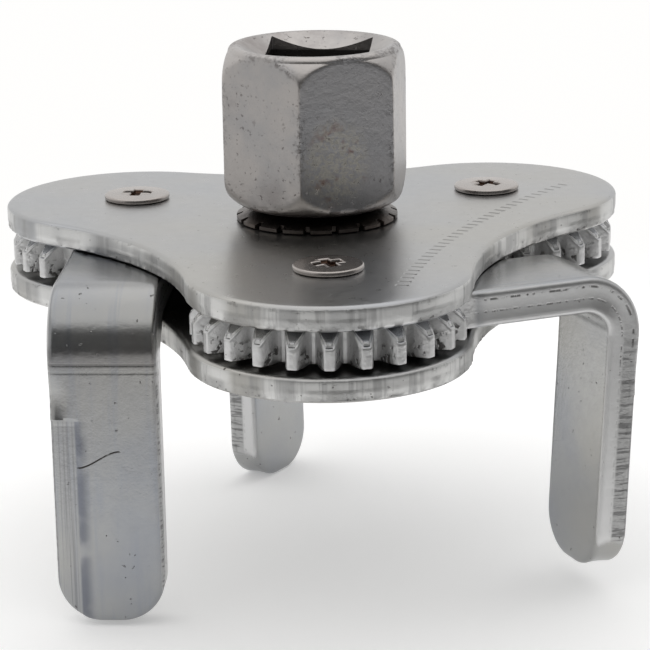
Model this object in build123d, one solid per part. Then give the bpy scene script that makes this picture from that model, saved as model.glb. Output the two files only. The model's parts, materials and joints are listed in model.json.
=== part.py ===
from build123d import *
import os
from math import acos, cos, degrees, pi, radians, sin, tan

# Oil filter wrench, millimetres. The origin is the middle of the drive square's mouth, on the hub's
# axis; +Z points up out of the mouth, and -Y points at the front lobe's pivot.

# driving dimensions: hub
hex_across_flats = 21.0
hex_corner_angle = 18.3  # degrees from +X to a corner
hub_height = 21.8  # top plate's upper face to the hub's mouth
square_side = 12.8
square_depth = 15.0
countersink_radius = 9.3
countersink_slope = 0.6  # drop per unit of radius
neck_radius = 6.6
tail_side = 8.8  # square tail that carries the sun gear
journal_radius = 4.4
running_clearance = 0.06

# driving dimensions: plates
pivot_radius = 26.1  # hub axis to each jaw pivot
lobe_radius = 16.7
waist_radius = 25.2  # hub axis to the hollow side between two lobes
plate_thickness = 2.9
plate_gap = 5.2
plate_edge = 0.35

# driving dimensions: gears
jaw_teeth = 24
sun_teeth = 18
pressure_angle = radians(20)
backlash = 0.2
jaw_tooth = 2.1  # thickness on the pitch circle; the sun gear's teeth are the thinner ones
sun_phase = 3.86  # degrees: a tooth space of the sun gear faces each pivot at this lead
tooth_bearing = 117.1  # degrees from straight out to a tooth, the same on all jaws so that all mesh
bare_angle = 30.0  # no teeth within this of the arm's centreline
gear_side_clearance = 0.15

# driving dimensions: jaws
jaw_thickness = 4.4
jaw_width = 12.9
jaw_reach = 37.6  # pivot to the leg's outer face, just below the bend
bend_inner_radius = 3.0
leg_corner = 5.3
# each jaw is named by where its leg stands; its pivot is one lobe further round. Swing is the resting
# arm's degrees from straight out, drop runs from the top plate's upper face to the tip, and lean is
# how many degrees the leg draws in
jaw_table = {
    "left": {"pivot": "left", "swing": 114.0, "drop": 43.4, "lean": 0.5},
    "right": {"pivot": "front", "swing": 109.9, "drop": 40.8, "lean": 3.0},
    "rear": {"pivot": "right", "swing": 115.6, "drop": 44.0, "lean": 1.5},
}

# driving dimensions: pivots
barrel_radius = 4.5
post_shank_radius = 3.0
post_head_radius = 4.7
post_head_height = 1.1
screw_head_radius = 4.16
screw_head_height = 0.84
screw_shank_radius = 1.95
screw_length = 7.5
recess_width = 0.95
recess_length = 4.6
recess_depth = 0.7
washer_radius = 8.5
washer_thickness = 0.5

# driving dimensions: hub washers and ring
lock_washer_radius = 10.0
lock_washer_rim = 0.55  # thickness at the rim
lock_washer_height = 1.6
lock_washer_crown = 7.4  # the dish falls from this radius
lock_washer_notches = 18
notch_width = 0.6
notch_depth = 0.8
thrust_washer_radius = 7.6
thrust_washer_thickness = 0.8
ring_radius = 6.6
ring_thickness = 1.0
ring_groove_depth = 0.7
ring_mouth = 6.0

# heights worked out from those
plate_top = -hub_height
plate_under = plate_top - plate_thickness
lower_top = plate_under - plate_gap
lower_under = lower_top - plate_thickness
jaw_top = plate_under - gear_side_clearance
jaw_under = jaw_top - jaw_thickness
gear_module = 2 * pivot_radius / (jaw_teeth + sun_teeth)
sun_tooth = pi * gear_module - backlash - jaw_tooth
pivots = {"front": -90.0, "right": 30.0, "left": 150.0}
square_turn = Rot(0, 0, hex_corner_angle - 30)  # the squares lie parallel to one pair of flats


def polar(radius, angle):
    return (radius * cos(radians(angle)), radius * sin(radians(angle)))


def on_pivot(shape, pivot):
    x, y = polar(pivot_radius, pivots[pivot])
    return Pos(x, y, 0) * shape


def plate(top):
    # three lobes joined by hollow sides; each side's arc is tangent to both lobes
    hollow = (
        waist_radius**2 + pivot_radius**2 - waist_radius * pivot_radius - lobe_radius**2
    ) / (pivot_radius + 2 * lobe_radius - 2 * waist_radius)
    edges = []
    for pivot in pivots.values():
        centre = Vector(*polar(pivot_radius, pivot))
        lobe_end = Vector(*polar(waist_radius + hollow, pivot + 60)) - centre
        lobe_start = Vector(*polar(waist_radius + hollow, pivot - 60)) - centre
        start = centre + lobe_start.normalized() * lobe_radius
        end = centre + lobe_end.normalized() * lobe_radius
        crown = polar(pivot_radius + lobe_radius, pivot)
        next_start = start.rotate(Axis.Z, 120)
        edges.append(ThreePointArc(start, crown, end))
        edges.append(ThreePointArc(end, polar(waist_radius, pivot + 60), next_start))
    outline = make_face(Wire(edges))
    body = Pos(0, 0, top - plate_thickness) * extrude(outline, amount=plate_thickness)
    rims = body.edges().group_by(Axis.Z)
    return chamfer(rims[0] + rims[-1], plate_edge)


def hole(radius, low, high):
    return Pos(0, 0, (low + high) / 2) * Cylinder(radius, high - low)


def gear_outline(teeth, thickness, phase, kept):
    # root arcs, involute flanks carried by three points each, and tip arcs
    pitch = gear_module * teeth / 2
    base = pitch * cos(pressure_angle)
    tip = pitch + gear_module
    root = pitch - 1.25 * gear_module
    half_pitch = degrees(thickness / (2 * pitch))

    def half_width(radius):
        roll = acos(min(1.0, base / radius))
        involute = tan(pressure_angle) - pressure_angle - (tan(roll) - roll)
        return half_pitch + degrees(involute)

    angles = [phase + 360 / teeth * n for n in range(teeth)]
    angles = [a for a in angles if kept((a + 180) % 360 - 180)]
    edges = []
    for n, angle in enumerate(angles):
        at_root, at_pitch, at_tip = half_width(root), half_pitch, half_width(tip)
        following = angles[n + 1] if n + 1 < len(angles) else angles[0] + 360
        rise = [polar(root, angle - at_root), polar(pitch, angle - at_pitch), polar(tip, angle - at_tip)]
        fall = [polar(tip, angle + at_tip), polar(pitch, angle + at_pitch), polar(root, angle + at_root)]
        edges.append(ThreePointArc(*rise))
        edges.append(ThreePointArc(rise[2], polar(tip, angle), fall[0]))
        edges.append(ThreePointArc(*fall))
        middle = polar(root, (angle + following) / 2)
        edges.append(ThreePointArc(fall[2], middle, polar(root, following - at_root)))
    return make_face(Wire(edges))


def jaw(swing, drop, lean):
    # pivot on the Z axis, arm along +X; a toothed disc, a flat arm, a bend and a leg
    outline = gear_outline(jaw_teeth, jaw_tooth, tooth_bearing - swing, lambda a: abs(a) > bare_angle)
    blank = extrude(outline, amount=jaw_thickness)
    tip_z = plate_top - drop
    outer = bend_inner_radius + jaw_thickness
    bend_x = jaw_reach - outer
    bend_z = jaw_top - outer

    def bend_point(radius, turn):
        return (bend_x + radius * sin(turn), bend_z + radius * cos(turn))

    last = pi / 2 + radians(lean)
    outer_end = bend_point(outer, last)
    inner_end = bend_point(bend_inner_radius, last)
    outer_tip = (outer_end[0] - (outer_end[1] - tip_z) * tan(radians(lean)), tip_z)
    inner_tip = (inner_end[0] - (inner_end[1] - tip_z) * tan(radians(lean)), tip_z)
    side = [
        Line((0, jaw_top), (bend_x, jaw_top)),
        ThreePointArc((bend_x, jaw_top), bend_point(outer, last / 2), outer_end),
        Line(outer_end, outer_tip),
        Line(outer_tip, inner_tip),
        Line(inner_tip, inner_end),
        ThreePointArc(inner_end, bend_point(bend_inner_radius, last / 2), (bend_x, jaw_under)),
        Line((bend_x, jaw_under), (0, jaw_under)),
        Line((0, jaw_under), (0, jaw_top)),
    ]
    strap = extrude(Plane.XZ * make_face(Wire(side)), amount=jaw_width / 2, both=True)
    corners = strap.edges().filter_by(lambda e: e.center().Z < tip_z + 0.01 and abs(e.center().Y) > 1)
    strap = fillet(corners, leg_corner)
    bore = hole(barrel_radius + running_clearance, jaw_under - 1, jaw_top + 1)
    return Pos(0, 0, jaw_under) * blank + strap - bore


def drive_hub():
    # hexagon turned down at both ends, on a neck, a square tail and a journal with a ring groove
    corner = hex_across_flats / 3**0.5
    prism = extrude(RegularPolygon(corner, 6), amount=hub_height)
    prism = Pos(0, 0, plate_top) * Rot(0, 0, hex_corner_angle) * prism
    foot, shoulder = plate_top + 1.8, plate_top + 8.3
    turned = [
        Line((0, foot), (7.6, foot)),
        ThreePointArc((7.6, foot), (10.6, foot + 2.8), (corner + 0.1, shoulder)),
        Line((corner + 0.1, shoulder), (corner + 0.1, -4.6)),
        ThreePointArc((corner + 0.1, -4.6), (11.75, -2.3), (10.65, -0.7)),
        ThreePointArc((10.65, -0.7), (10.35, -0.22), (9.8, 0)),
        Line((9.8, 0), (0, 0)),
        Line((0, 0), (0, foot)),
    ]
    head = prism & revolve(Plane.XZ * make_face(Wire(turned)), Axis.Z)
    cone_depth = countersink_radius * countersink_slope
    cone = Pos(0, 0, -cone_depth / 2) * Cone(0, countersink_radius, cone_depth)
    socket = Pos(0, 0, -square_depth / 2) * square_turn * Box(square_side, square_side, square_depth)
    neck = hole(neck_radius, plate_under - 0.05, foot)
    tail_low = lower_top + 0.05
    tail = Box(tail_side, tail_side, plate_under - tail_low)
    tail = Pos(0, 0, (tail_low + plate_under) / 2) * square_turn * tail
    end = ring_low - 0.7
    journal = hole(journal_radius, end, tail_low)
    groove = hole(journal_radius + 1, ring_low, ring_low + ring_thickness)
    groove -= hole(journal_radius - ring_groove_depth, ring_low, ring_low + ring_thickness)
    return head + neck + tail + journal - groove - socket - cone


def sun_gear():
    low = lower_top + gear_side_clearance
    outline = gear_outline(sun_teeth, sun_tooth, pivots["right"] + sun_phase + 10, lambda a: True)
    gear = extrude(outline, amount=jaw_top - low)
    return Pos(0, 0, low) * gear - Pos(0, 0, low) * square_turn * Box(tail_side, tail_side, 20)


def lock_washer():
    # a dished washer, notched round its rim
    low = plate_top + 0.05
    crown = low + lock_washer_height
    section = [
        (neck_radius, crown - lock_washer_rim),
        (neck_radius, crown),
        (lock_washer_crown, crown),
        (lock_washer_radius, low + lock_washer_rim),
        (lock_washer_radius, low),
        (lock_washer_radius - 0.5, low),
    ]
    ring = revolve(Plane.XZ * make_face(Polyline(*section, close=True)), Axis.Z)
    for n in range(lock_washer_notches):
        notch = Box(2 * notch_depth, notch_width, 4 * lock_washer_height)
        ring -= Rot(0, 0, 360 / lock_washer_notches * n) * Pos(lock_washer_radius, 0, low) * notch
    return ring


def thrust_washer():
    return hole(thrust_washer_radius, washer_low, lower_under - 0.05) - hole(
        journal_radius + running_clearance, washer_low - 1, lower_under
    )


def retaining_ring():
    # a clip pushed on from the side: open at +X
    ring = hole(ring_radius, ring_low, ring_low + ring_thickness)
    ring -= hole(journal_radius - ring_groove_depth, ring_low - 1, ring_low + 2)
    return ring - Pos(ring_radius / 2, 0, ring_low) * Box(ring_radius, ring_mouth, 4)


def pivot_post():
    # barrel between the plates, a shank through each plate and a set head underneath
    post = hole(barrel_radius, lower_top, plate_under) + hole(post_shank_radius, lower_under, plate_top)
    head = hole(post_head_radius, lower_under - post_head_height, lower_under)
    head = fillet(head.edges().group_by(Axis.Z)[0], post_head_height * 0.6)
    return post + head - hole(screw_shank_radius + 0.05, plate_top - screw_length - 0.5, plate_top + 1)


def pivot_screw():
    head = hole(screw_head_radius, plate_top, plate_top + screw_head_height)
    head = fillet(head.edges().group_by(Axis.Z)[-1], screw_head_height * 0.6)
    screw = head + hole(screw_shank_radius, plate_top - screw_length, plate_top)
    slot = Box(recess_length, recess_width, 2 * recess_depth) + Box(recess_width, recess_length, 2 * recess_depth)
    return screw - Pos(0, 0, plate_top + screw_head_height) * slot


def jaw_washer():
    ring = hole(washer_radius, lower_top, lower_top + washer_thickness)
    return ring - hole(barrel_radius + running_clearance, lower_top - 1, lower_top + 2)


washer_low = lower_under - 0.05 - thrust_washer_thickness
ring_low = washer_low - 0.05 - ring_thickness
upper_plate = plate(plate_top) - hole(neck_radius + running_clearance, plate_under - 1, plate_top + 1)
lower_plate = plate(lower_top) - hole(journal_radius + running_clearance, lower_under - 1, lower_top + 1)
for pivot in pivots:
    upper_plate -= on_pivot(hole(post_shank_radius, plate_under - 1, plate_top + 1), pivot)
    lower_plate -= on_pivot(hole(post_shank_radius, lower_under - 1, lower_top + 1), pivot)

nodes = {
    "upper_plate": upper_plate,
    "lower_plate": lower_plate,
    "drive_hub": drive_hub(),
    "sun_gear": sun_gear(),
    "lock_washer": lock_washer(),
    "thrust_washer": thrust_washer(),
    "retaining_ring": retaining_ring(),
}
for name, row in jaw_table.items():
    shape = jaw(row["swing"], row["drop"], row["lean"])
    nodes["jaw_" + name] = on_pivot(Rot(0, 0, pivots[row["pivot"]] + row["swing"]) * shape, row["pivot"])
for pivot in pivots:
    nodes["pivot_post_" + pivot] = on_pivot(pivot_post(), pivot)
    nodes["pivot_screw_" + pivot] = on_pivot(Rot(0, 0, pivots[pivot] + 20) * pivot_screw(), pivot)
    nodes["jaw_washer_" + pivot] = on_pivot(jaw_washer(), pivot)

os.makedirs("parts", exist_ok=True)
for name, shape in nodes.items():
    export_step(shape, "parts/" + name + ".step")
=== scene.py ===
import json
import bpy
import numpy as np
from math import radians
from mathutils import Matrix, Vector


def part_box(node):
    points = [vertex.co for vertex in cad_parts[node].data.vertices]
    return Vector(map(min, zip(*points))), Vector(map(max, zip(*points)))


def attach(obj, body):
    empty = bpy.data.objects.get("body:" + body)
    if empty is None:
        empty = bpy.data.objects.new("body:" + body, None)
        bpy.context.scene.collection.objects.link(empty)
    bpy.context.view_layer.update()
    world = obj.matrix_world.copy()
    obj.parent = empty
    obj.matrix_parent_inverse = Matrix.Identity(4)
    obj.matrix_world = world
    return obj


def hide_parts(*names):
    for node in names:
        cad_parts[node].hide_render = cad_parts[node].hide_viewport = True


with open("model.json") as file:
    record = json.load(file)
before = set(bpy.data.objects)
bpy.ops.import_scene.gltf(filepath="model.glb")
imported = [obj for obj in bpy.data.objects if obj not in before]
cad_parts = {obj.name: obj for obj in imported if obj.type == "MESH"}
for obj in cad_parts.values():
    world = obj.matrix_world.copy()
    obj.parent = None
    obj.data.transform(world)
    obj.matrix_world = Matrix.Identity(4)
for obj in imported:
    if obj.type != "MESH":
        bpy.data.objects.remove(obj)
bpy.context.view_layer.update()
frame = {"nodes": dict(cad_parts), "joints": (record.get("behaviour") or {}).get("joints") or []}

mm = 0.001
print("frame loaded:", len(frame["nodes"]), "parts")

# sizes read from the frame, in millimetres


def low(node):
    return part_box(node)[0] / mm


def high(node):
    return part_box(node)[1] / mm


plateTop = high("upper_plate").z
plateUnder = low("upper_plate").z
lowerTop = high("lower_plate").z
lowerUnder = low("lower_plate").z
legTip = low("jaw_rear").z
jawTop = high("jaw_left").z
pivotOf = {j["child"]: np.array(j["pos_m"][:2]) / mm for j in frame["joints"] if j["child"] != "drive"}
lobes = {"front": pivotOf["jaw_right"], "right": pivotOf["jaw_rear"], "left": pivotOf["jaw_left"]}
pivotRadius = float(np.hypot(*lobes["front"]))

# meshes from grids


def rounded(values, step):
    return np.round(values / step) * step


def piece(name, grids, body, material, stands, smoothAngle=40, guide=None):
    # each grid is an array (along, across, xyz) in millimetres; neighbours become four-sided faces,
    # coincident points are joined, and the shell is turned so that its enclosed volume is positive.
    # guide holds three numbers per point for the material to read
    points, faces, start = [], [], 0
    for grid in grids:
        along, across = grid.shape[:2]
        index = np.arange(along * across).reshape(along, across) + start
        corners = [index[:-1, :-1], index[1:, :-1], index[1:, 1:], index[:-1, 1:]]
        faces.append(np.stack([c.ravel() for c in corners], 1))
        points.append(grid.reshape(-1, 3))
        start += along * across
    points, faces = np.concatenate(points), np.concatenate(faces)
    first, joined = np.unique(rounded(points, 1e-4), axis=0, return_index=True, return_inverse=True)[1:]
    points, faces = points[first], joined.reshape(-1)[faces]
    # walls that meet back to back inside a solid are dropped
    same, times = np.unique(np.sort(faces, axis=1), axis=0, return_inverse=True, return_counts=True)[1:]
    faces = faces[times[same.reshape(-1)] == 1]
    a, b, c, d = (points[faces[:, n]] for n in range(4))
    volume = np.einsum("ij,ij->", a, np.cross(b, c)) + np.einsum("ij,ij->", a, np.cross(c, d))
    if volume < 0:
        faces = faces[:, ::-1]
    mesh = bpy.data.meshes.new(name)
    mesh.vertices.add(len(points))
    mesh.vertices.foreach_set("co", (points * mm).ravel())
    repeated = faces == np.roll(faces, 1, axis=1)  # a pole's four-sided faces lose a corner
    counts = 4 - repeated.sum(1)
    whole = counts >= 3
    loops = faces[whole][~repeated[whole]]
    counts = counts[whole]
    mesh.loops.add(len(loops))
    mesh.loops.foreach_set("vertex_index", loops.astype(np.int32))
    mesh.polygons.add(len(counts))
    mesh.polygons.foreach_set("loop_start", (np.cumsum(counts) - counts).astype(np.int32))
    mesh.polygons.foreach_set("use_smooth", np.ones(len(counts), bool))
    mesh.update(calc_edges=True)
    if guide is not None:
        layer = mesh.attributes.new("guide", "FLOAT_VECTOR", "POINT")
        layer.data.foreach_set("vector", guide.reshape(-1, 3)[first].ravel())
    mesh.validate()
    mesh.set_sharp_from_angle(angle=radians(smoothAngle))
    made = bpy.data.objects.new(name, mesh)
    bpy.context.scene.collection.objects.link(made)
    made.data.materials.append(material)
    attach(made, body)
    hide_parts(*stands)
    print("made", name, len(counts), "faces")
    return made


def turned(profile, segments=144):
    # a profile of (radius, height) carried round the Z axis: x = r cos t, y = r sin t
    turn = np.linspace(0, 2 * np.pi, segments + 1)[:, None]
    radius, height = np.array(profile, float).T
    return np.stack([radius * np.cos(turn), radius * np.sin(turn), height + 0 * turn], -1)


def soften(value, start, end):
    # 0 before start, 1 after end, and 3t^2 - 2t^3 between them
    t = np.clip((value - start) / (end - start), 0, 1)
    return t * t * (3 - 2 * t)


def ripple(x, y, scale, seed):
    # a smooth uneven field between about -1 and 1: six sine waves of mixed directions, added up
    rng = np.random.default_rng(seed)
    total = 0
    for _ in range(6):
        angle, phase = rng.uniform(0, 2 * np.pi, 2)
        length = scale * rng.uniform(0.6, 1.7)
        total = total + np.sin(2 * np.pi * (x * np.cos(angle) + y * np.sin(angle)) / length + phase)
    return total / 6


# shader maths


class Wire:
    # a node's output; arithmetic on it adds Math nodes
    def __init__(self, graph, socket):
        self.graph = graph
        self.socket = socket

    def maths(self, operation, *values):
        return self.graph.node("ShaderNodeMath", {"operation": operation}, dict(enumerate(values)))

    def __add__(self, other):
        return self.maths("ADD", self, other)

    def __sub__(self, other):
        return self.maths("SUBTRACT", self, other)

    def __rsub__(self, other):
        return self.maths("SUBTRACT", other, self)

    def __mul__(self, other):
        return self.maths("MULTIPLY", self, other)

    def __truediv__(self, other):
        return self.maths("DIVIDE", self, other)

    def __pow__(self, other):
        return self.maths("POWER", self, other)

    __radd__ = __add__
    __rmul__ = __mul__

    def size(self):
        return self.maths("ABSOLUTE", self)

    def most(self, other):
        return self.maths("MAXIMUM", self, other)

    def least(self, other):
        return self.maths("MINIMUM", self, other)

    def part(self):
        return self.maths("FRACT", self)

    def above(self, start, end):
        return self.graph.node(
            "ShaderNodeMapRange",
            {"interpolation_type": "SMOOTHSTEP"},
            {"Value": self, "From Min": start, "From Max": end},
        )

    def below(self, start, end):
        return 1 - self.above(start, end)


class Graph:
    def __init__(self, tree):
        self.tree = tree
        tree.nodes.clear()

    def node(self, kind, settings=None, inputs=None, out=0):
        made = self.tree.nodes.new(kind)
        for key, value in (settings or {}).items():
            setattr(made, key, value)
        for key, value in (inputs or {}).items():
            if isinstance(value, Wire):
                self.tree.links.new(value.socket, made.inputs[key])
            else:
                made.inputs[key].default_value = value
        return Wire(self, made.outputs[out])

    def place(self):
        return self.node("ShaderNodeTexCoord", out="Object")

    def guide(self):
        vector = self.node("ShaderNodeAttribute", {"attribute_name": "guide"}, out="Vector")
        return [vector] + self.split(vector)

    def split(self, vector):
        parts = self.node("ShaderNodeSeparateXYZ", inputs={"Vector": vector})
        outputs = parts.socket.node.outputs
        return [Wire(self, outputs[n]) for n in range(3)]

    def facing(self):
        return self.split(self.node("ShaderNodeNewGeometry", out="True Normal"))

    def noise(self, place, scale, detail=3.0, roughness=0.55, stretch=(1, 1, 1), shift=(0, 0, 0)):
        moves = {"Vector": place, "Scale": stretch, "Location": shift}
        mapped = self.node("ShaderNodeMapping", inputs=moves)
        values = {"Vector": mapped, "Scale": scale, "Detail": detail, "Roughness": roughness}
        return self.node("ShaderNodeTexNoise", inputs=values)

    def blend(self, factor, first, second):
        values = {"Factor": factor, "A": first, "B": second}
        made = self.tree.nodes.new("ShaderNodeMix")
        made.data_type = "RGBA"
        sockets = {"Factor": made.inputs[0], "A": made.inputs[6], "B": made.inputs[7]}
        for key, socket in sockets.items():
            if isinstance(values[key], Wire):
                self.tree.links.new(values[key].socket, socket)
            else:
                socket.default_value = values[key]
        return Wire(self, made.outputs[2])

    def bump(self, height, distance, strength=1.0):
        values = {"Height": height, "Distance": distance, "Strength": strength}
        return self.node("ShaderNodeBump", inputs=values, out="Normal")

    def metal(self, colour, roughness, normal=None, metallic=1.0, more=None):
        values = {"Base Color": colour, "Roughness": roughness, "Metallic": metallic, **(more or {})}
        if normal is not None:
            values["Normal"] = normal
        shader = self.node("ShaderNodeBsdfPrincipled", inputs=values, out="BSDF")
        end = self.tree.nodes.new("ShaderNodeOutputMaterial")
        self.tree.links.new(shader.socket, end.inputs["Surface"])


def rgb(red, green, blue):
    return (red, green, blue, 1.0)


def newMaterial(name):
    made = bpy.data.materials.new(name)
    made.use_nodes = True
    return made, Graph(made.node_tree)


zinc = {
    "pale": rgb(0.435, 0.435, 0.435),
    "blue": rgb(0.37, 0.40, 0.45),
    "straw": rgb(0.46, 0.44, 0.39),
    "dark": rgb(0.045, 0.04, 0.036),
    "torn": rgb(0.32, 0.32, 0.32),
    "bright": rgb(0.76, 0.76, 0.75),
    "grain": 2600.0,
}


def zincPlated(name, top, tint=0.35, roughness=0.27, specks=0.5, marks=None):
    # plated sheet: clouded tints, faint grain and small dark specks; its sheared side is burnished
    # in the upper half, streaked along Z, torn and pitted below
    material, g = newMaterial(name)
    here = g.place()
    x, y, z = g.split(here)
    side = g.facing()[2].size().below(0.35, 0.75)
    depth = top - z / mm
    cloud = g.noise(here, 60, 4)
    wide = g.noise(here, 24, 2, shift=(3, 1, 2))
    grain = g.noise(here, zinc["grain"], 2)
    fine = g.noise(here, 700, 5, 0.7)
    crumb = g.noise(here, 1500, 2, 0.5, shift=(1, 5, 2))
    speck = crumb.above(0.70, 0.74) * wide.above(0.42, 0.6)
    streak = g.noise(here, 420, 4, 0.65, stretch=(1, 1, 0.05))
    sheen = g.noise(here, 150, 2, 0.5, stretch=(1, 1, 0.05), shift=(2, 4, 0))
    patch = g.noise(here, 160, 3, 0.6, stretch=(1, 1, 0.6), shift=(7, 2, 0))
    torn = side * depth.above(1.3, 1.9) * patch.above(0.40, 0.6)
    pits = side * crumb.above(0.57, 0.64) * (depth.above(2.0, 2.5) + depth.below(0.4, 0.9) * 0.6)
    pits = pits * patch.above(0.45, 0.55)
    colour = g.blend(cloud.above(0.35, 0.7) * tint, zinc["pale"], zinc["blue"])
    colour = g.blend(wide.above(0.46, 0.62) * tint * 1.4, colour, zinc["straw"])
    colour = g.blend(side * sheen.above(0.38, 0.58) * 0.8, colour, zinc["bright"])
    colour = g.blend((side * streak.above(0.50, 0.62) * 0.6).most(torn * 0.5), colour, zinc["torn"])
    dirt = (speck * specks + pits * 0.45).least(1.0)
    colour = g.blend(dirt, colour, zinc["dark"])
    rough = roughness + (fine - 0.5) * 0.16 + side * 0.14 + torn * 0.10 + dirt * 0.3
    height = grain * 0.10 + fine * 0.4 + side * streak * 2.4 + torn * fine * 3.0 - dirt * 1.2
    if marks is not None:
        pressed = marks(x, y, z)
        colour = g.blend(pressed * 0.6, colour, zinc["dark"])
        height = height - pressed * 2.0
    g.metal(colour, rough, g.bump(height, 0.00006))
    return material


# a row of plain ticks pressed into the top plate along its hollow side
strokeRow = {
    "x": 126.7,
    "y": -64.7,
    "inner": 122.0,
    "outer": 123.4,
    "first": 139.6,
    "last": 166.0,
    "count": 34,
}


def strokes(x, y, z):
    # bands of angle round the row's own centre, kept between its two radii: even, plain ticks
    dx, dy = x / mm - strokeRow["x"], y / mm - strokeRow["y"]
    reach = (dx * dx + dy * dy) ** 0.5
    angle = dy.maths("ARCTAN2", dy, dx) * (180 / np.pi)
    count = strokeRow["count"]
    along = (angle - strokeRow["first"]) * (count / (strokeRow["last"] - strokeRow["first"]))
    line = (along.part() - 0.5).size().below(0.08, 0.17)
    line = line * along.above(-0.02, 0.02) * along.below(count - 0.02, count + 0.02)
    band = reach.above(strokeRow["inner"] - 0.1, strokeRow["inner"] + 0.15)
    band = band * reach.below(strokeRow["outer"] - 0.15, strokeRow["outer"] + 0.1)
    return line * band * (z / mm).above(plateTop - 0.4, plateTop - 0.2)


jawFinish = {
    "pale": rgb(0.34, 0.345, 0.35),
    "blue": rgb(0.29, 0.305, 0.335),
    "sheared": rgb(0.66, 0.66, 0.66),  # tooth flanks and sides
    "drawn": rgb(0.27, 0.29, 0.33),
    "lines": rgb(0.20, 0.20, 0.21),
    "shadow": rgb(0.12, 0.13, 0.16),
    # painted shade at and just below the bend
    "crease": rgb(0.15, 0.14, 0.14),
    "torn": rgb(0.20, 0.20, 0.20),
    "discShift": 50.0,  # taken off the disc's radii, so that they never meet the strap's numbers
    "scratchAt": 13.4,
    "scratchRise": 2.05,
}


def zincJaws():
    # the guide is the flat blank's own (past the bend, across, out) in millimetres, and on the disc
    # its first number is the radius less discShift. Shear marks run along the sides. The leg's outer
    # face has a lined strip, painted shade beside it and a scratch that climbs as 3t^2 - 2t^3
    material, g = newMaterial("zinc_jaws")
    here = g.place()
    sheet, past, across, out = g.guide()
    wide = g.noise(here, 30, 2, shift=(3, 1, 2))
    cloud = g.noise(here, 110, 4)
    grain = g.noise(here, 2400, 2)
    fine = g.noise(here, 800, 4, 0.65)
    crumb = g.noise(here, 1300, 2, 0.5, shift=(1, 5, 2))
    strap = past.above(-24.0, -21.0)
    flat = out.above(1.55, 1.95) * strap
    side = across.size().above(6.05, 6.35) * strap
    broken = g.noise(sheet, 1.1, 3, 0.6, stretch=(1, 1, 0.2))
    rows = (out - 1.15).size().below(0.05, 0.2).most((out + 0.35).size().below(0.03, 0.17) * 0.8)
    shear = side * rows * broken.above(0.47, 0.58) * past.below(2.0, 8.0).most(0.25)
    torn = side * out.above(-0.25, 0.15) * past.above(-3.0, 5.0)
    hatch = g.noise(sheet, 1.0, 3, 0.6, stretch=(3.0, 1, 0.25)).above(0.46, 0.6)
    reach = past + jawFinish["discShift"]
    tooth = past.below(-23.5, -22.0) * g.facing()[2].size().below(0.5, 0.85)
    start = jaw["stripStart"] + 0.05
    leg = past.above(start - 0.1, start + 0.1) * flat
    edge = jaw["stripWidth"] - 6.45
    strip = leg * across.below(edge - 0.1, edge + 0.05)
    lined = g.noise(sheet, 1.0, 3, 0.6, stretch=(0.03, 2.4, 0.3))
    # painted shade: a soft dark band beside the lined strip, where the face dips
    stripShade = leg * across.above(edge - 0.1, edge + 0.2) * across.below(edge + 0.5, edge + 1.9)
    stripShade = stripShade * g.noise(here, 170, 3).above(0.30, 0.55)
    streak = g.noise(sheet, 1.0, 3, 0.6, stretch=(0.05, 0.9, 0.3))
    t = ((across + 3.4) / 5.15).most(0.0).least(1.0)
    climb = t * t * (3 - t * 2) * jawFinish["scratchRise"]
    scratch = (past - jawFinish["scratchAt"] + climb).size().below(0.04, 0.13)
    scratch = flat * scratch * (across + 0.8).size().below(2.3, 2.7)
    # two dark lines along the crease, added to the dirt below
    crease = (past - 0.7).size().below(0.05, 0.3) * 0.6
    crease = flat * (crease + (past - 1.7).size().below(0.05, 0.25) * 0.4)
    speck = crumb.above(0.71, 0.76) * wide.above(0.42, 0.6)
    pits = tooth * crumb.above(0.53, 0.62) * out.below(-0.6, 0.4)
    pits = pits * reach.above(13.5, 13.9) * reach.below(15.6, 15.95)
    # painted shade: a dark band on the outer face at and just below the bend
    fold = flat * past.above(-1.5, -0.4) * past.below(0.2, 1.9)
    colour = g.blend(cloud.above(0.35, 0.7) * 0.7, jawFinish["pale"], jawFinish["blue"])
    colour = g.blend(wide.above(0.5, 0.7) * 0.4, colour, zinc["straw"])
    colour = g.blend(tooth.most(side * 0.85), colour, jawFinish["sheared"])
    colour = g.blend(streak.above(0.52, 0.7) * flat * 0.35, colour, jawFinish["drawn"])
    colour = g.blend(strip * lined.above(0.48, 0.62) * 0.55, colour, jawFinish["lines"])
    colour = g.blend(stripShade * 0.75, colour, jawFinish["shadow"])
    colour = g.blend(fold * 0.5, colour, jawFinish["crease"])
    colour = g.blend(torn * (hatch * 0.6 + 0.3), colour, jawFinish["torn"])
    dirt = (speck * 0.6).most(shear * 0.7).most(scratch * streak.above(0.42, 0.5))
    dirt = dirt.most(crease * 0.3).most(pits * 0.8)
    colour = g.blend(dirt, colour, zinc["dark"])
    rough = 0.24 + (fine - 0.5) * 0.14 + torn * 0.12 + (tooth + side) * 0.16 + dirt * 0.25
    height = grain * 0.12 + fine * 0.5 + (torn + tooth) * fine * 2.0 + strip * lined * 1.5 - dirt * 1.4
    g.metal(colour, rough, g.bump(height, 0.00006))
    return material


hubFinish = {
    "warm": rgb(0.475, 0.45, 0.435),
    "grey": rgb(0.41, 0.40, 0.40),
    "brown": rgb(0.17, 0.11, 0.085),
    "pit": rgb(0.05, 0.033, 0.027),
    "blue": rgb(0.47, 0.475, 0.50),
    "olive": rgb(0.68, 0.64, 0.53),
    "red": rgb(0.26, 0.13, 0.11),
    "black": rgb(0.02, 0.017, 0.015),
}


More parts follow.
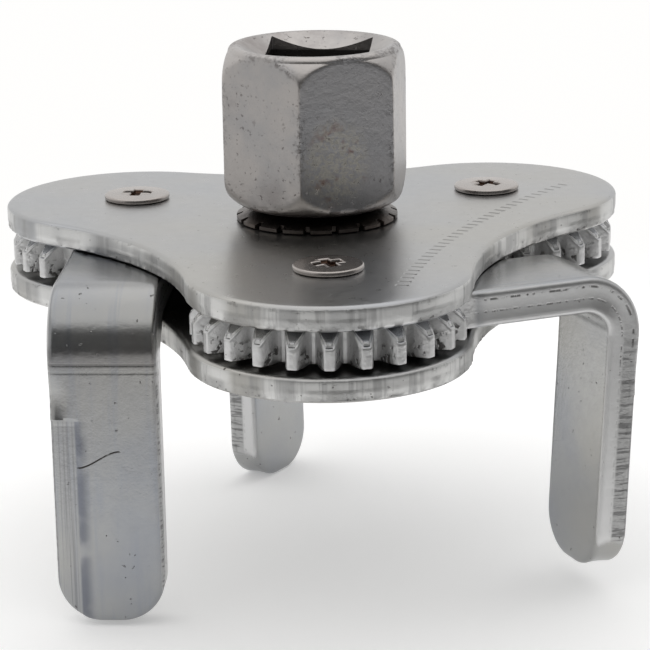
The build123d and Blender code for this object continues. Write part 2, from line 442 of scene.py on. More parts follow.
def nickelHub():
    # forged nickel: warm and grey clouds, brown stains, fine pits that gather along the worn edges
    # (the guide's first number), and painted shade that darkens the neck and the socket
    material, g = newMaterial("nickel_hub")
    here = g.place()
    x, y, z = g.split(here)
    edge = g.guide()[1]
    cloud = g.noise(here, 130, 5, 0.65)
    wide = g.noise(here, 55, 3, shift=(2, 7, 1))
    fine = g.noise(here, 1100, 4, 0.7)
    crumb = g.noise(here, 1900, 3, 0.6, shift=(4, 0, 3))
    pits = crumb.above(0.635, 0.69) * wide.above(0.36, 0.62)
    dots = g.noise(here, 1000, 1, 0.4, shift=(9, 3, 5)).above(0.77, 0.80) * 0.4
    worn = (edge * crumb.above(0.47, 0.58) * cloud.above(0.40, 0.60) * 0.7).least(1.0)
    colour = g.blend(cloud.above(0.35, 0.65), hubFinish["warm"], hubFinish["grey"])
    stain = wide.above(0.50, 0.68) * cloud.above(0.42, 0.6)
    colour = g.blend(stain * 0.35, colour, hubFinish["brown"])
    # one face is bluer, with a stain a little below its middle and a dark notch at its top corner
    faceTurn = radians(hub["cornerAngle"] - 90)
    nx, ny = g.facing()[:2]
    toward = nx * np.cos(faceTurn) + ny * np.sin(faceTurn)
    face = toward.above(0.96, 0.99)
    u = (y * np.cos(faceTurn) - x * np.sin(faceTurn)) / mm + 1.5
    v = z / mm + 12.5
    blotch = face * (u * u / 18 + v * v / 26 + cloud * 2).below(1.2, 2.4)
    colour = g.blend(face * 0.6, colour, hubFinish["blue"])
    colour = g.blend(blotch * crumb.above(0.40, 0.55) * 0.45, colour, hubFinish["olive"])
    red = blotch * g.noise(here, 380, 3, 0.6, shift=(0, 8, 2)).above(0.55, 0.66)
    colour = g.blend(red * 0.6, colour, hubFinish["red"])
    notch = (z / mm).below(-3.4, -2.8) * (z / mm).above(-6.4, -5.4) * (u + 7.4).size().below(0.25, 0.7)
    notch = notch * face.most(toward.above(0.8, 0.9))
    hollow = (pits * 0.8).most(dots).most(worn).most(notch)
    colour = g.blend(hollow * 0.7, colour, hubFinish["pit"])
    # painted shade: the neck under the hexagon and everything below it, and the inside of the socket,
    # are darkened to black
    neck = (z / mm).below(plateTop + 1.5, plateTop + 2.3)
    inner = (x * x + y * y) ** 0.5
    socket = (inner / mm).below(9.1, 9.3) * (z / mm).below(-2.0, -1.75)
    dark = neck.most(socket)
    colour = g.blend(dark * 0.9, colour, hubFinish["black"])
    rough = 0.34 + (fine - 0.5) * 0.24 + hollow * 0.2 + dark * 0.2
    height = fine * 1.1 + g.noise(here, 260, 2) * 0.7 - hollow * 1.8
    g.metal(colour, rough, g.bump(height, 0.00004))
    return material


screwFinish = {
    "pink": rgb(0.44, 0.405, 0.385),
    "grey": rgb(0.40, 0.375, 0.36),
    "cross": rgb(0.06, 0.035, 0.025),
}


def nickelScrews():
    # smooth pinkish nickel; the guide's first number marks the cross recess, whose dark brown is painted
    # shade
    material, g = newMaterial("nickel_screws")
    here = g.place()
    cross = g.guide()[1]
    cloud = g.noise(here, 300, 3, 0.5)
    fine = g.noise(here, 1500, 3, 0.6)
    colour = g.blend(cloud.above(0.4, 0.7), screwFinish["pink"], screwFinish["grey"])
    # painted shade: the cross recess is darkened to dark brown
    colour = g.blend(cross.above(0.12, 0.5), colour, screwFinish["cross"])
    g.metal(colour, 0.26 + (fine - 0.5) * 0.1, g.bump(fine, 0.00002))
    return material


def plainMetal(name, colour, other, roughness, scale=300):
    # one metal with a cloud of a second tint and a fine grain
    material, g = newMaterial(name)
    here = g.place()
    cloud = g.noise(here, scale, 4, 0.6)
    fine = g.noise(here, 1500, 3, 0.6)
    mixed = g.blend(cloud.above(0.4, 0.7), colour, other)
    g.metal(mixed, roughness + (fine - 0.5) * 0.2, g.bump(fine + cloud, 0.00005))
    return material


# plates

plate = {
    "lobe": 16.68,
    "waist": 25.2,
    "roll": 0.75,  # rounded upper rim left by the press
    "burr": 0.25,
    "torn": 0.10,  # how far the lower half of the sheared side falls back
    "hole": 6.66,
    "around": 720,
}
waistArc = (plate["waist"] ** 2 + pivotRadius**2 - plate["waist"] * pivotRadius - plate["lobe"] ** 2) / (
    pivotRadius + 2 * plate["lobe"] - 2 * plate["waist"]
)


def lobedRadius(angle):
    # distance from the hub's axis to the outline, folded into one sixth of a turn: the lobe's circle
    # up to its tangent point, then the hollow arc
    fold = np.abs((angle + np.pi / 2 + np.pi / 3) % (2 * np.pi / 3) - np.pi / 3)
    across = pivotRadius * np.sin(fold)
    lobe = pivotRadius * np.cos(fold) + np.sqrt(np.maximum(plate["lobe"] ** 2 - across**2, 0))
    reach = plate["waist"] + waistArc
    turn = np.pi / 3 - fold
    hollow = reach * np.cos(turn) - np.sqrt(np.maximum(waistArc**2 - (reach * np.sin(turn)) ** 2, 0))
    centre = reach * np.array([np.cos(np.pi / 3), np.sin(np.pi / 3)])
    lobeCentre = np.array([pivotRadius, 0])
    touch = lobeCentre + (centre - lobeCentre) / np.hypot(*(centre - lobeCentre)) * plate["lobe"]
    return np.where(fold < np.arctan2(touch[1], touch[0]), lobe, hollow)


def lobedPlate(name, top, under, hole, material, seed):
    # outline times profile: hole wall, top face, rolled rim, sheared side, burr, underside
    turn = np.linspace(0, 2 * np.pi, plate["around"] + 1)
    radius = lobedRadius(turn)
    edge = np.stack([radius * np.cos(turn), radius * np.sin(turn)], -1)
    slope = np.gradient(edge, axis=0)
    slope[0] = slope[-1] = edge[1] - edge[-2]
    outward = np.stack([slope[:, 1], -slope[:, 0]], -1)
    outward /= np.linalg.norm(outward, axis=1)[:, None]
    inner = hole * np.stack([np.cos(turn), np.sin(turn)], -1)
    roll, burr = plate["roll"], plate["burr"]
    arc = np.linspace(0, np.pi / 2, 7)
    wear = 1 + 0.12 * ripple(edge[:, 0], edge[:, 1], 9, seed)
    rows = [(inner, np.full(len(turn), under)), (inner, np.full(len(turn), top))]
    for t in np.linspace(0.02, 1, 26):
        rows.append((inner + (edge - outward * roll - inner) * t, np.full(len(turn), top)))
    for a in arc[1:]:
        drop = roll * 0.75 * (1 - np.cos(a)) * wear
        rows.append((edge - outward * roll * (1 - np.sin(a)), top - drop))
    side = np.linspace(top - roll * 0.75, under + burr, 8)
    for n, z in enumerate(side[1:]):
        rough = 1 + ripple(edge[:, 0] * 3, edge[:, 1] * 3, 4, seed + n)
        torn = plate["torn"] * soften(z, under + 1.1, under + 0.5) * rough
        rows.append((edge - outward * torn[:, None], np.full(len(turn), z)))
    rows.append((edge - outward * (burr + 0.1), np.full(len(turn), under)))
    for t in np.linspace(0.96, 0, 20):
        rows.append((inner + (edge - outward * burr - inner) * t, np.full(len(turn), under)))
    layers = [np.concatenate([xy, np.broadcast_to(z, (len(turn),))[:, None]], 1) for xy, z in rows]
    grid = np.stack(layers, 1)
    grid[-1] = grid[0]
    return piece(name, [grid], "frame", material, [name.replace("_sheet", "")])


# jaws

jaw = {
    "thick": 4.4,
    "width": 12.9,
    "reach": 37.6,
    "bendInner": 3.0,
    "corner": 5.3,
    "bore": 4.56,
    "teeth": 24,
    "toothBearing": 117.1,
    "bare": 30.0,
    "toothThick": 2.15,  # on the pitch circle
    "toothFlare": 0.24,  # how much wider the foot of each flank is
    "rollDrop": 1.75,  # how far the press rolled the tooth tips down
    "swing": {"jaw_left": 114.0, "jaw_right": 109.9, "jaw_rear": 115.6},
    "lean": {"jaw_left": 0.5, "jaw_right": 3.0, "jaw_rear": 1.5},
    "stripWidth": 2.9,
    "stripStart": 7.6,  # past the bend
    "stripDepth": {"jaw_left": 0.40, "jaw_right": 0.08, "jaw_rear": 0.20},
}


def toothOutline(phase):
    # polar outline of the toothed part: for each tooth an involute flank, a land and a flank
    gearModule = 2 * pivotRadius / (jaw["teeth"] + 18)
    pitch = gearModule * jaw["teeth"] / 2
    base, tip, root = pitch * np.cos(radians(20)), pitch + gearModule, pitch - 1.25 * gearModule

    def halfWidth(radius):
        roll = np.arccos(np.minimum(1, base / radius))
        flare = jaw["toothFlare"] * np.clip((14.6 - radius) / (14.6 - root), 0, 1) ** 2 / radius
        involute = (np.tan(radians(20)) - radians(20)) - (np.tan(roll) - roll)
        return jaw["toothThick"] / 2 / pitch + involute + flare

    rise = np.concatenate([np.linspace(root, base, 4)[:-1], np.linspace(base, tip - 0.12, 5), [tip]])
    flank = halfWidth(rise)
    flank[0] += 0.012
    flank[-1] -= 0.006
    land = np.linspace(-1, 1, 4)[1:-1] * flank[-1]
    offsets = np.concatenate([-flank, land, flank[::-1]])
    radii = np.concatenate([rise, [tip, tip], rise[::-1]])
    step = 2 * np.pi / jaw["teeth"]
    floor = np.linspace(0.25, 0.75, 3)
    gapStart, gapEnd = flank[0], step - flank[0]
    offsets = np.concatenate([offsets, gapStart + (gapEnd - gapStart) * floor])
    radii = np.concatenate([radii, root + 0 * floor])
    centres = (radians(phase) + step * np.arange(jaw["teeth"])) % (2 * np.pi)
    centres.sort()
    kept = centres[(centres > radians(jaw["bare"])) & (centres < 2 * np.pi - radians(jaw["bare"]))]
    angles = (kept[:, None] + offsets).ravel()
    return angles, np.tile(radii, len(kept)), root, tip


def jawBlank(phase, lean, tipZ):
    # flat outline, counter-clockwise, and the point on the middle line that each of its points
    # pairs with
    angles, radii, root, tip = toothOutline(phase)
    half = jaw["width"] / 2
    outer = jaw["bendInner"] + jaw["thick"]
    middle = jaw["bendInner"] + jaw["thick"] / 2
    bendStart = jaw["reach"] - outer
    turnAll = np.pi / 2 + lean
    bendEnd = bendStart + middle * turnAll
    straight = (jawTop - outer - outer * np.sin(lean) - tipZ) / np.cos(lean)
    tipX = bendEnd + straight
    fillet = 1.6
    joinX = np.sqrt((root + fillet) ** 2 - (half + fillet) ** 2)
    start = np.arctan2(half + fillet, joinX)
    sideX = np.concatenate([
        np.linspace(joinX, bendStart, 40)[:-1], np.linspace(bendStart, bendEnd, 34)[:-1],
        np.linspace(bendEnd, tipX - jaw["corner"], 90)])
    bow = np.linspace(0, 1, 5)[:-1]
    filletTurn = -np.pi / 2 - bow * (np.pi / 2 - start)
    filletX = joinX + fillet * np.cos(filletTurn)
    filletY = half + fillet + fillet * np.sin(filletTurn)
    cornerTurn = np.linspace(0, np.pi / 2, 20)
    cornerX = tipX - jaw["corner"] + jaw["corner"] * np.sin(cornerTurn)
    cornerY = half - jaw["corner"] + jaw["corner"] * np.cos(cornerTurn)
    plain = np.linspace(start, angles[0], 8)[:-1]
    plainLow = np.linspace(angles[-1], 2 * np.pi - start, 8)[1:]
    outlineX = np.concatenate([
        cornerX[::-1][:-1], sideX[::-1], filletX[1:], root * np.cos(plain), radii * np.cos(angles),
        root * np.cos(plainLow), filletX[1:][::-1], sideX, cornerX[1:]])
    outlineY = np.concatenate([
        cornerY[::-1][:-1], half + 0 * sideX, filletY[1:], root * np.sin(plain), radii * np.sin(angles),
        root * np.sin(plainLow), -filletY[1:][::-1], -half + 0 * sideX, -cornerY[1:]])
    across = np.linspace(-1, 1, 5)[1:-1] * (half - jaw["corner"])
    outlineX = np.concatenate([outlineX, tipX + 0 * across, outlineX[:1]])
    outlineY = np.concatenate([outlineY, across, outlineY[:1]])
    edge = np.stack([outlineX, outlineY], -1)
    # middle line: the bore's circle for the disc, the arm's centreline for the strap
    bearing = np.arctan2(outlineY, outlineX)
    reach = np.hypot(outlineX, outlineY)
    strap = (outlineX > joinX + 0.01) & (np.abs(bearing) < start)
    slideIn = np.clip((outlineX - joinX) / 3.0, 0, 1)
    onBore = np.where(strap, np.sign(outlineY) * start * (1 - slideIn), bearing)
    inner = jaw["bore"] * np.stack([np.cos(onBore), np.sin(onBore)], -1)
    begin, settle, finish = joinX + 3.0, 27.0, tipX - jaw["corner"]
    line = jaw["bore"] + (settle - jaw["bore"]) * (outlineX - begin) / (settle - begin)
    line = np.minimum(np.where(outlineX < settle, line, outlineX), finish)
    onLine = strap & (outlineX > begin)
    inner[onLine, 0] = line[onLine]
    inner[onLine, 1] = 0
    return edge, inner, reach, root, tip, bendStart, bendEnd, middle


def bent(x, y, out, bendStart, bendEnd, middle):
    # flat to bent: straight, then round the bend's centre, then straight down the leg; out is height
    # above the sheet's middle, which stays at zero along the arm
    turn = np.clip((x - bendStart) / middle, 0, (bendEnd - bendStart) / middle)
    past = np.maximum(x - bendEnd, 0)
    px = np.minimum(x, bendStart) + (middle + out) * np.sin(turn) + past * np.cos(turn)
    pz = (middle + out) * np.cos(turn) - middle - past * np.sin(turn)
    return np.stack([px, y, pz], -1)


def jawPiece(name, pivot, outwardTurn, material):
    # the blank's outline and middle line carry rows of top, rounded edge, side and underside; the
    # whole is then bent and turned into place
    swing, lean = jaw["swing"][name], radians(jaw["lean"][name])
    blank = jawBlank(jaw["toothBearing"] - swing, lean, low(name).z)
    edge, inner, reach, root, tip, bendStart, bendEnd, middle = blank
    turn = outwardTurn + radians(swing)
    slope = np.roll(edge[:-1], -1, axis=0) - np.roll(edge[:-1], 1, axis=0)
    slope = np.concatenate([slope, slope[:1]])
    outward = np.stack([slope[:, 1], -slope[:, 0]], -1)
    outward /= np.linalg.norm(outward, axis=1)[:, None]
    thick = jaw["thick"]
    # rounding: generous on the strap, small on the teeth
    onStrap = soften(edge[:, 0], 12, 18)
    roundTop = 0.22 + 0.2 * soften(reach, root + 1, tip) * (1 - onStrap) + 0.55 * onStrap
    roundLow = 0.15 + 0.40 * onStrap
    dip = jaw["rollDrop"] * np.clip((reach - root - 0.35) / (tip - root - 0.35), 0, 1) ** 1.35
    dip = np.where(edge[:, 0] > 14, 0, dip)
    rows = []

    def row(xy, out):
        rows.append(np.concatenate([xy, np.broadcast_to(out, (len(edge),))[:, None]], 1))

    def topAt(xy):
        far = np.hypot(xy[:, 0], xy[:, 1])
        fall = jaw["rollDrop"] * np.clip((far - root - 0.35) / (tip - root - 0.35), 0, 1) ** 1.35
        return thick / 2 - np.where(xy[:, 0] > 14, 0, fall)

    insetTop = edge - outward * roundTop[:, None]
    insetLow = edge - outward * roundLow[:, None]
    steps = np.concatenate([np.linspace(0, 0.72, 14), np.linspace(0.75, 1, 12)])
    for t in steps:
        xy = inner + (insetTop - inner) * t
        row(xy, topAt(xy))
    for a in np.linspace(0, np.pi / 2, 6)[1:]:
        inward = roundTop * (1 - np.sin(a))
        row(edge - outward * inward[:, None], thick / 2 - dip - roundTop * (1 - np.cos(a)))
    topOfSide, endOfSide = thick / 2 - dip - roundTop, -thick / 2 + roundLow
    for t in np.linspace(0, 1, 9)[1:]:
        belly = 0.10 * np.sin(np.pi * t) * onStrap
        row(edge - outward * belly[:, None], topOfSide + (endOfSide - topOfSide) * t)
    for a in np.linspace(0, np.pi / 2, 5)[1:]:
        inward = roundLow * (1 - np.cos(a))
        row(edge - outward * inward[:, None], -thick / 2 + roundLow * (1 - np.sin(a)))
    for t in np.linspace(1, 0, 16)[1:]:
        row(inner + (insetLow - inner) * t, -thick / 2)
    rows.append(rows[0].copy())
    flat = np.stack(rows, 1)
    x, y, out = flat[..., 0], flat[..., 1], flat[..., 2].copy()
    onDisc = np.hypot(x, y) - jawFinish["discShift"]
    guide = np.stack([np.where(x < 14, onDisc, x - bendEnd), y, out], -1)
    # coined strip along one edge of the leg's outer face, with a scooped start
    stripStart = bendEnd + jaw["stripStart"]
    brink = -jaw["width"] / 2
    nearEdge = soften(y, brink + jaw["stripWidth"] + 0.5, brink + jaw["stripWidth"])
    deepest = jaw["stripDepth"][name]
    depth = deepest * (0.75 + 0.5 * np.clip((-y - 3.5) / 3, 0, 1))
    strip = nearEdge * soften(x, stripStart, stripStart + 0.25) * depth
    scoop = 1.1 * deepest * np.exp(-(((x - stripStart + 2.6) / 2.2) ** 2) - ((y - brink) / 1.5) ** 2)
    scoop = scoop * soften(x, stripStart, stripStart - 0.3)
    upper = soften(out, 0, thick / 4)
    crease = 0.025 * np.exp(-(((x - bendEnd - 0.6) / 0.22) ** 2))
    crease = crease + 0.02 * np.exp(-(((x - bendEnd - 1.5) / 0.25) ** 2))
    uneven = 0.03 * ripple(x, y, 14, 5) * soften(x, 14, 30)
    out = out - upper * (strip + scoop + crease * (np.abs(y) < 6)) + uneven
    # the sheet swells at the sides of the bend's inside
    swell = np.exp(-(((x - (bendStart + bendEnd) / 2) / 3.0) ** 2)) * soften(-out, -0.5, 2.0)
    y = y * (1 + 0.035 * swell)
    shape = bent(x, y, out, bendStart, bendEnd, middle)
    shape[..., 2] += jawTop - thick / 2
    c, s = np.cos(turn), np.sin(turn)
    placed = np.stack([c * shape[..., 0] - s * shape[..., 1] + pivot[0],
                       s * shape[..., 0] + c * shape[..., 1] + pivot[1], shape[..., 2]], -1)
    return piece(name + "_strap", [placed], name, material, [name], guide=guide)


# hub

hub = {
    "flats": 21.0,
    "cornerAngle": 18.3,
    "square": 12.8,
    "depth": 15.0,
    "shoulder": [(12.22, -4.6), (11.75, -2.3), (10.65, -0.7)],  # three points of the chamfer's arc
    "rim": 9.3,
    "coneDrop": 0.6,
    "neck": 6.6,
    "tail": 8.8,
    "journal": 4.4,
    "groove": 3.7,
    "sharp": 120.0,
}


def arcThrough(first, middle, last, count):
    # the circle through three points has its centre on both perpendicular bisectors
    a, b, c = (np.array(p) for p in (first, middle, last))
    centre = np.linalg.solve([b - a, c - b], [(b @ b - a @ a) / 2, (c @ c - b @ b) / 2])
    start, end = (np.arctan2(*(p - centre)[::-1]) for p in (a, c))
    turn = np.linspace(start, end, count)
    return centre + np.hypot(*(a - centre)) * np.stack([np.cos(turn), np.sin(turn)], -1)


def polygonRadius(angle, flats, sides, first, power):
    # one over the power mean of the sides' cosines: a polygon whose corners are a little rounded
    total = 0
    for n in range(sides):
        total = total + np.maximum(np.cos(angle - first - 2 * np.pi / sides * n), 0) ** power
    return flats / 2 / total ** (1 / power)


def hubPiece(material):
    # outside: the nearer of the hexagon and a turned profile; inside: a cone, then square walls
    foot = plateTop + 1.8
    corner = hub["flats"] / np.sqrt(3)
    turn = np.linspace(0, 2 * np.pi, 721)[:, None]
    hexagon = polygonRadius(turn, hub["flats"], 6, radians(hub["cornerAngle"] + 30), 160.0)
    squareTurn = radians(hub["cornerAngle"] - 30)
    square = polygonRadius(turn, hub["square"], 4, squareTurn, 110.0)
    bow = np.linspace(0, 1, 16)
    bowR = 7.6 + (corner + 0.6 - 7.6) * np.sin(bow * np.pi / 2) ** 0.95
    bowZ = foot + 6.4 * (1 - np.cos(bow * np.pi / 2))
    upper = [(13.2, z) for z in np.linspace(bowZ[-1] + 0.8, -5.2, 20)]
    shoulder = arcThrough(*hub["shoulder"], 30)
    last, drop = shoulder[-1]
    roll = np.linspace(0, np.pi / 2, 9)[1:]
    rim = np.stack([9.8 + (last - 9.8) * np.cos(roll), drop * (1 - np.sin(roll))], -1)
    outside = np.concatenate([np.array(list(zip(bowR, bowZ)) + upper), shoulder, rim])
    r, z = outside[:, 0], outside[:, 1]
    power = hub["sharp"]
    near = 1 / ((1 / hexagon) ** power + (1 / r) ** power) ** (1 / power)
    outer = np.stack([near * np.cos(turn), near * np.sin(turn), z + 0 * turn], -1)
    steps = np.linspace(0, 1, 15)[1:]
    start = hub["rim"]
    coneR = start + (square - start) * steps
    coneZ = -0.08 - hub["coneDrop"] * (start - coneR)
    lipR = np.broadcast_to([9.65, 9.5, 9.4], (len(turn), 3))
    lipZ = np.broadcast_to([-0.006, -0.025, -0.05], (len(turn), 3))
    wallZ = np.linspace(0, 1, 8)[1:] * (-hub["depth"] - coneZ[:, -1:]) + coneZ[:, -1:]
    floorR = square * np.linspace(1, 0, 6)[1:]
    floorZ = -hub["depth"] - 1.2 * np.linspace(0, 1, 6)[1:]
    inR = np.concatenate([lipR, coneR, square + 0 * wallZ, floorR], 1)
    inZ = np.concatenate([lipZ, coneZ, wallZ, floorZ + 0 * turn], 1)
    inside = np.stack([inR * np.cos(turn), inR * np.sin(turn), inZ], -1)
    ringLow, ringHigh = low("retaining_ring").z, high("retaining_ring").z
    end, journal, groove = low("drive_hub").z, hub["journal"], hub["groove"]
    tail = polygonRadius(turn, hub["tail"], 4, squareTurn, 90.0)
    tailLow = lowerTop + 0.05
    below = [(0.0, end), (journal - 0.4, end), (journal, end + 0.4), (journal, ringLow),
             (groove, ringLow), (groove, ringHigh), (journal, ringHigh), (journal, tailLow)]
    stub = turned(below, 720)
    tailRows = np.stack([np.concatenate([tail * np.cos(turn), tail * np.sin(turn), z + 0 * turn], 1)
                         for z in (tailLow, plateUnder)], 1)
    slim = hub["neck"]
    neck = turned([(slim, plateUnder), (slim, foot - 0.5), (slim + 0.25, foot - 0.12), (7.3, foot)], 720)
    grid = np.concatenate([stub, tailRows, neck, outer, inside], 1)
    grid[-1] = grid[0]
    # worn edges: where flats meet the chamfer, at the corners and round the rim
    meeting = np.exp(-(((hexagon - r) / 0.30) ** 2))
    fromCorner = (turn - radians(hub["cornerAngle"]) + np.pi / 6) % (np.pi / 3) - np.pi / 6
    corners = np.exp(-((fromCorner * corner / 0.55) ** 2)) * (z > foot + 3) * (z < -3)
    worn = np.maximum(np.maximum(meeting, corners), 0.8 * (z > -0.6))
    guide = np.zeros(grid.shape)
    before = stub.shape[1] + tailRows.shape[1] + neck.shape[1]
    guide[:, before:before + outer.shape[1], 0] = worn
    guide[-1] = guide[0]
    return piece("drive_hub_body", [grid], "drive", material, ["drive_hub"], 35, guide)


# screws

screw = {
    "head": 4.16,
    "height": 0.84,
    "crossWidth": 1.1,
    "crossLength": 3.7,
    "depth": 0.75,
    "turn": 20.0,
}


def screwHead(name, pivot, turn, material, node):
    # a dome as a height over its disc, a cross pressed into it and a lip raised round the cross
    angle = np.linspace(0, 2 * np.pi, 193)[:, None]
    radius = np.concatenate([np.linspace(0, 2.6, 40), np.linspace(2.7, screw["head"] - 0.25, 12)])
    x, y = radius * np.cos(angle), radius * np.sin(angle)
    u = x * np.cos(turn) + y * np.sin(turn)
    v = -x * np.sin(turn) + y * np.cos(turn)
    halfWide, halfLong = screw["crossWidth"] / 2, screw["crossLength"] / 2

    def bar(a, b):
        ends = soften(np.abs(b), halfLong + 0.1, halfLong - 0.3)
        return soften(np.abs(a), halfWide + 0.14, halfWide - 0.05) * ends

    def lip(a, b):
        ends = soften(np.abs(b), halfLong + 0.3, halfLong - 0.2)
        return np.exp(-(((np.abs(a) - halfWide - 0.22) / 0.16) ** 2)) * ends

    cross = np.maximum(bar(u, v), bar(v, u))
    raised = np.maximum(lip(u, v), lip(v, u)) * (1 - cross)
    dome = screw["height"] - 0.16 * (radius / screw["head"]) ** 2
    height = dome + 0.09 * raised - screw["depth"] * cross * (1 - 0.35 * radius / halfLong)
    edgeTurn = np.linspace(0, np.pi / 2, 6)[1:]
    base = dome[-1]
    edgeR = screw["head"] - 0.25 + 0.25 * np.sin(edgeTurn)
    edgeZ = base - 0.25 + 0.25 * np.cos(edgeTurn)
    wallR = np.array([screw["head"], screw["head"] - 0.12, screw["head"] - 0.45, 0.0])
    wallZ = np.array([0.22, 0.06, 0.0, 0.0])
    restR, restZ = np.concatenate([edgeR, wallR]), np.concatenate([edgeZ, wallZ])
    rest = np.stack([restR * np.cos(angle), restR * np.sin(angle), restZ + 0 * angle], -1)
    grid = np.concatenate([np.stack([x, y, height], -1), rest], 1)
    grid[-1] = grid[0]
    grid = grid + np.array([pivot[0], pivot[1], plateTop])
    guide = np.zeros(grid.shape)
    guide[:, :cross.shape[1], 0] = cross
    guide[-1] = guide[0]
    return piece(name, [grid], "frame", material, [node], 60, guide)


# lock washer

lockWasher = {
    "outer": 10.0,
    "inner": 6.6,
    "crown": 7.4,
    "rise": 1.6,
    "rim": 0.55,
    "flatEdge": 9.5,
    "notches": 18,
    "notchDepth": 0.8,
}


def lockWasherPiece(material):
    # a dished ring: flat crown, straight slope to a thin rim; its radius dips at each notch
    turn = np.linspace(0, 2 * np.pi, lockWasher["notches"] * 40 + 1)[:, None]
    pitch = 2 * np.pi / lockWasher["notches"]
    fromNotch = np.abs((turn + pitch / 2) % pitch - pitch / 2)
    outer = lockWasher["outer"] - lockWasher["notchDepth"] * soften(fromNotch, 0.042, 0.028)
    inner, crown, rise, rim = (lockWasher[key] for key in ("inner", "crown", "rise", "rim"))
    radiusTop = crown + (outer - crown) * np.linspace(0, 1, 14)
    slope = (rise - rim) / (lockWasher["outer"] - crown)
    heightTop = rise - slope * (radiusTop - crown)
    radiusLow = outer + (inner - outer) * np.linspace(0.06, 1, 12)
    under = (rise - rim) / (lockWasher["flatEdge"] - inner)
    heightLow = np.maximum(0, (lockWasher["flatEdge"] - radiusLow) * under)
    one = 0 * turn
    radius = np.concatenate([inner + one, radiusTop, outer, radiusLow, inner + one], 1)
    edgeZ = heightTop[:, -1:] - 0.4
    height = np.concatenate([rise + one, heightTop, edgeZ, heightLow, rise + one], 1)
    grid = np.stack([radius * np.cos(turn), radius * np.sin(turn), height + plateTop + 0.05], -1)
    grid[-1] = grid[0]
    return piece("lock_washer_cone", [grid], "drive", material, ["lock_washer"])


# materials and pieces

topZinc = zincPlated("zinc_top_plate", plateTop, tint=0.3, roughness=0.30, specks=0.4, marks=strokes)
lowZinc = zincPlated("zinc_lower_plate", lowerTop, tint=0.35, roughness=0.30, specks=0.7)
jawZinc = zincJaws()
hubNickel = nickelHub()
screwNickel = nickelScrews()
darkSpring = plainMetal("dark_spring_steel", rgb(0.10, 0.088, 0.082), rgb(0.17, 0.145, 0.13), 0.36, 260)
plainSteel = plainMetal("plain_steel", rgb(0.42, 0.42, 0.41), rgb(0.32, 0.31, 0.30), 0.35, 200)
print("materials done")

lobedPlate("upper_plate_sheet", plateTop, plateUnder, plate["hole"], topZinc, 11)
lobedPlate("lower_plate_sheet", lowerTop, lowerUnder, 4.5, lowZinc, 23)
for jawName, pivot in pivotOf.items():
    jawPiece(jawName, pivot, np.arctan2(pivot[1], pivot[0]), jawZinc)
hubPiece(hubNickel)
for lobe, pivot in lobes.items():
    turn = np.arctan2(pivot[1], pivot[0]) + radians(screw["turn"])
    screwHead("screw_head_" + lobe, pivot, turn, screwNickel, "pivot_screw_" + lobe)
lockWasherPiece(darkSpring)
for name, node in frame["nodes"].items():
    finish = darkSpring if name == "retaining_ring" else plainSteel
    for n in range(max(1, len(node.data.materials))):
        if n < len(node.data.materials):
            node.data.materials[n] = finish
        else:
            node.data.materials.append(finish)
print("pieces done")

# floor, light and camera

# a round pale floor whose edge fades out
disc = {
    "size": 0.20,
    "fadeFrom": 0.07,
    "fadeTo": 0.17,
    "front": rgb(0.57, 0.57, 0.57),
    "back": rgb(0.93, 0.93, 0.93),
    "glow": rgb(0.38, 0.38, 0.38),
}
ring = np.linspace(0, 2 * np.pi, 97)[:-1]
edge = np.stack([disc["size"] * np.cos(ring), disc["size"] * np.sin(ring), 0 * ring + legTip * mm], -1)
floorMesh = bpy.data.meshes.new("floor")
floorMesh.from_pydata(edge.tolist(), [], [list(range(len(ring)))])
floor = bpy.data.objects.new("floor", floorMesh)
bpy.context.scene.collection.objects.link(floor)
floorPaint, g = newMaterial("pale_floor")
x, y = g.split(g.place())[:2]
# painted shade: the floor is darker towards the front right
shade = (y - x * 0.35).above(-0.14, -0.04)
fade = ((x * x + y * y) ** 0.5).below(disc["fadeFrom"], disc["fadeTo"])
far = ((x * x + y * y) ** 0.5).above(0.04, 0.09)
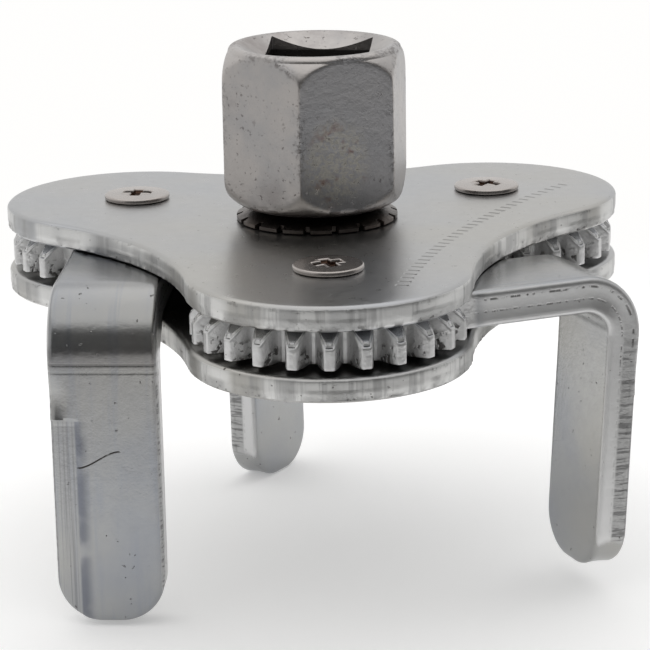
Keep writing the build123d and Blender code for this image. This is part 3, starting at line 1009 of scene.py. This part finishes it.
# painted light: the floor glows towards the back, most away from the object
glow = g.blend(shade * (far * 0.3 + 0.7), rgb(0, 0, 0), disc["glow"])
g.metal(g.blend(shade, disc["front"], disc["back"]), 0.9, metallic=0.0,
        more={"Alpha": fade, "Emission Color": glow, "Emission Strength": 1.0})
floor.data.materials.append(floorPaint)

# sky: bright behind and overhead, dark in front and to the right from just below the horizon up to
# half height; white where the camera looks straight at it
studio = {"low": 0.64, "behind": 0.24, "dimmed": 0.82, "overhead": 0.40, "fill": 0.5}
world = bpy.data.worlds.new("studio")
bpy.context.scene.world = world
world.use_nodes = True
g = Graph(world.node_tree)
dx, dy, dz = g.split(g.node("ShaderNodeTexCoord", out="Generated"))
front = (dx * 0.45 - dy * 0.89).above(0.15, 0.6) * dz.below(0.55, 0.75) * dz.above(-0.24, -0.17)
bright = studio["low"] + dy.above(-0.3, 0.6) * studio["behind"]
sky = bright * (1 - front * studio["dimmed"]) + dz.above(0.60, 0.82) * studio["overhead"]
sky = sky + (0 - dy).above(0.90, 0.96) * dz.below(-0.22, -0.12) * studio["fill"]
seen = g.node("ShaderNodeLightPath", out="Is Camera Ray")
sky = sky * (1 - seen) + seen
background = g.node("ShaderNodeBackground", inputs={"Color": rgb(1, 0.995, 0.985), "Strength": sky})
end = world.node_tree.nodes.new("ShaderNodeOutputWorld")
world.node_tree.links.new(background.socket, end.inputs["Surface"])

view = {
    "at": (-14.086, -315.946, 53.507),
    "right": (0.99854, -0.05145, -0.01627),
    "up": (0.02963, 0.2707, 0.96221),
    "lens": 144.44,
}
cameraData = bpy.data.cameras.new("camera")
cameraData.sensor_width = 36
cameraData.lens = view["lens"]
cameraData.clip_start = 0.01
camera = bpy.data.objects.new("camera", cameraData)
rightward, upward = Vector(view["right"]).normalized(), Vector(view["up"]).normalized()
turned3 = Matrix((rightward, upward, rightward.cross(upward))).transposed()
camera.matrix_world = Matrix.Translation(Vector(view["at"]) * mm) @ turned3.to_4x4()
bpy.context.scene.collection.objects.link(camera)
bpy.context.scene.camera = camera
bpy.context.scene.view_settings.view_transform = "Standard"
